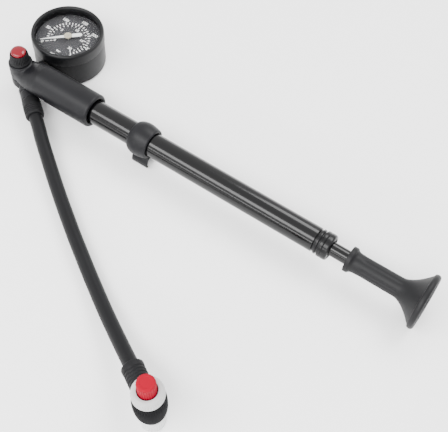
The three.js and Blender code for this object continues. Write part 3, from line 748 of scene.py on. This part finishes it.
def hose():
    curve = bpy.data.curves.new("air_hose", "CURVE")
    curve.dimensions = "3D"
    curve.bevel_depth = HOSE_DIAMETER / 2
    curve.bevel_resolution = 10
    curve.resolution_u = 8
    curve.use_fill_caps = True
    spline = curve.splines.new("BEZIER")
    spline.bezier_points.add(len(HOSE_ROUTE) - 1)
    for point, where in zip(spline.bezier_points, HOSE_ROUTE):
        point.co = where
        point.handle_left_type = "AUTO"
        point.handle_right_type = "AUTO"
    curve.materials.append(HOSE_SKIN)
    tube = bpy.data.objects.new("air_hose", curve)
    bpy.context.scene.collection.objects.link(tube)
    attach(tube, "hose_assembly")
    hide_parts("hose")


# ---------------------------------------------------------------- chuck
def chuck():
    """Valve chuck: clear coupling ring, egg-shaped body, white collar and red knob."""
    upright = Matrix.Scale(1 / MM, 4) @ on_chuck()
    inlet = upright @ Vector((0, 0, 22))
    outward = (HOSE_END - inlet).normalized()
    reach = (HOSE_END - inlet).length
    inlet_place = place(inlet, outward)
    inlet_mm = Matrix.Scale(1 / MM, 4) @ inlet_place

    top = 35.4
    side = curve_points([(10.9, 6.4), (12.2, 7.4), (15.5, 8.6), (20, 9.35), (25.5, 9.65),
                         (31, 9.5), (34.6, 9.1)], 8)
    outside = [(10.9, 0)] + subdivided(side, 0.5) + [(top, 8.7), (top, 0)]
    edge_ribs = ribs(44, 0.32, 29.5, 35.6, 3)

    def outside_only(angle, along, radius):
        return edge_ribs(angle, along, radius) if radius > 8.5 else radius

    shell = moved(revolve(outside, 352, outside_only), upright)
    socket_profile = rounded([(4.5, 0), (4.5, 5.7), (11.6, 5.7, 1.2), (12.5, 5.2, 0.4), (12.5, 0)])
    stub = moved(revolve(socket_profile), inlet_mm)
    hollow = moved(revolve([(5, 0), (5, 5.9), (20, 5.9), (20, 2.6), (26, 2.6), (26, 3.4),
                            (40, 3.4), (40, 0)]), upright)
    passage = moved(rod(1, 14, 1.5), inlet_mm)
    body = moulded([shell, stub], [hollow, passage], voxel=0.2, smoothing=2)
    piece("chuck_shell", body, Matrix.Scale(MM, 4), EGG, "chuck_body")

    end = reach - 0.3
    sleeve = [(12.8, 2.4), (12.8, 6), (14, 6.4)]
    for index in range(4):
        x = 15.2 + index * (end - 18) / 4
        sleeve += [(x, 6.5, 0.3), (x + 0.5, 5.9, 0.3), (x + 1.0, 5.9, 0.3), (x + 1.5, 6.5, 0.3)]
    sleeve += [(end - 1.4, 6.7, 0.5), (end - 0.2, 6.7, 0.4), (end, 6.0, 0.3), (end, 2.4)]
    boot = piece("hose_boot_at_chuck", revolve(rounded(sleeve, 0.3), 96), inlet_place, RUBBER,
                 "chuck_ferrule")

    base = top + 0.3
    cap = rounded([(base, 3.4), (base, 8.9, 0.4), (base + 0.8, 9.15, 0.4), (base + 3.6, 9.15, 1.2),
                   (base + 6, 8.5, 1.2), (base + 6.9, 7.3, 0.7), (base + 6.9, 5.8, 0.2),
                   (base + 2, 5.8), (base + 2, 3.4)], 0.3, 6)
    grip = ribs(40, 0.3, base + 0.6, base + 5.2, 0.8)

    def cap_ribs(angle, along, radius):
        return grip(angle, along, radius) if radius > 8.2 else radius

    piece("chuck_white_collar", revolve(subdivided(cap, 0.5), 320, cap_ribs), on_chuck(), WHITE,
          "chuck_collar")

    low = base + 4.05
    knob_top = 52.4
    knob = rounded([(28, 0), (28, 3.1), (low, 3.1), (low, 5, 0.2), (low + 0.4, 5.3, 0.2),
                    (knob_top - 1.2, 5.3, 0.3), (knob_top, 4.6, 0.7), (knob_top, 3.4, 0.3),
                    (knob_top - 0.25, 3.0, 0.3), (knob_top - 0.25, 0)], 0.3)
    knob_ribs = ribs(26, 0.35, low + 0.2, knob_top - 0.7)

    def knob_side(angle, along, radius):
        return knob_ribs(angle, along, radius) if radius > 4.4 else radius

    piece("chuck_red_knob", revolve(subdivided(knob, 0.6), 260, knob_side), on_chuck(), RED,
          "chuck_knob")

    ring = rounded([(0, 3.9), (0, 7.2, 0.6), (9.4, 7.2, 0.6), (10.4, 6.2), (10.4, 5.5), (16, 5.5),
                    (16, 3.9)], 0.2)
    ring_ribs = ribs(30, 0.3, 1.2, 9)

    def ring_side(angle, along, radius):
        return ring_ribs(angle, along, radius) if radius > 6.8 else radius

    piece("chuck_clear_ring", revolve(subdivided(ring, 0.8), 240, ring_side), on_chuck(), MILKY,
          "chuck_coupling")
    seal = rounded([(16.4, 1.3), (16.4, 5.6), (19.6, 5.6), (19.6, 1.3)], 0.3)
    piece("chuck_face_seal", revolve(seal, 64), on_chuck(), NITRILE, "chuck_seal")
    return boot


# ---------------------------------------------------------------- stage
CAMERA_AT = (0.179, -0.2974, 0.4702)
CAMERA_RIGHT = (0.828, 0.558, 0.046)
CAMERA_BACK = (0.274, -0.474, 0.837)  # from what it looks at, towards the camera
FOCAL_LENGTH = 71.37


def camera():
    """Stands above the hose side and looks back along the pump."""
    right = Vector(CAMERA_RIGHT).normalized()
    back = Vector(CAMERA_BACK)
    back = (back - right * back.dot(right)).normalized()
    up = back.cross(right)
    turn = Matrix((right, up, back)).transposed().to_4x4()
    lens = bpy.data.cameras.new("camera")
    lens.sensor_width = 36
    lens.lens = FOCAL_LENGTH
    lens.clip_start = 0.01
    eye = bpy.data.objects.new("camera", lens)
    eye.matrix_world = Matrix.Translation(CAMERA_AT) @ turn
    bpy.context.scene.collection.objects.link(eye)
    bpy.context.scene.camera = eye


def softbox(name, where, towards, size, power):
    light = bpy.data.lights.new(name, "AREA")
    light.shape = "RECTANGLE"
    light.size, light.size_y = size
    light.energy = power
    thing = bpy.data.objects.new(name, light)
    thing.location = where
    direction = Vector(towards) - Vector(where)
    thing.rotation_euler = direction.to_track_quat("-Z", "Y").to_euler()
    bpy.context.scene.collection.objects.link(thing)


WORLD_STRENGTH = 1.9
FLOOR_COLOR = (0.95, 0.95, 0.95)


def stage():
    bm = slab([(-3, -3), (3, -3), (3, 3), (-3, 3)], -0.02, -0.0004)
    mesh = bpy.data.meshes.new("floor")
    bmesh.ops.recalc_face_normals(bm, faces=bm.faces)
    bm.to_mesh(mesh)
    bm.free()
    mesh.materials.append(finish("pale_floor", FLOOR_COLOR, 0.7, grain=200, bump=0.001,
                                 variation=0.01))
    floor = bpy.data.objects.new("floor", mesh)
    bpy.context.scene.collection.objects.link(floor)
    world = bpy.data.worlds.new("studio")
    world.use_nodes = True
    socket(world.node_tree.nodes["Background"], "Color", (1, 1, 1, 1))
    socket(world.node_tree.nodes["Background"], "Strength", WORLD_STRENGTH)
    bpy.context.scene.world = world
    softbox("key", (-0.1, -0.75, 0.87), (0, -0.03, 0), (1.5, 0.4), 24)
    softbox("strip", (0.1, -1.0, 0.34), (0, -0.02, 0.02), (1.5, 0.08), 6)
    softbox("fill", (0.2, 0.6, 0.9), (0, -0.02, 0.02), (0.8, 0.5), 12)


camera()
boot_at_head = swivel()
boot_at_chuck = chuck()
hose()
head()
barrel()
plunger()
clip()
gauge_shell()
gauge_dial()
gauge_hand()
bleed_valve()
dress_cad_nodes()
stage()
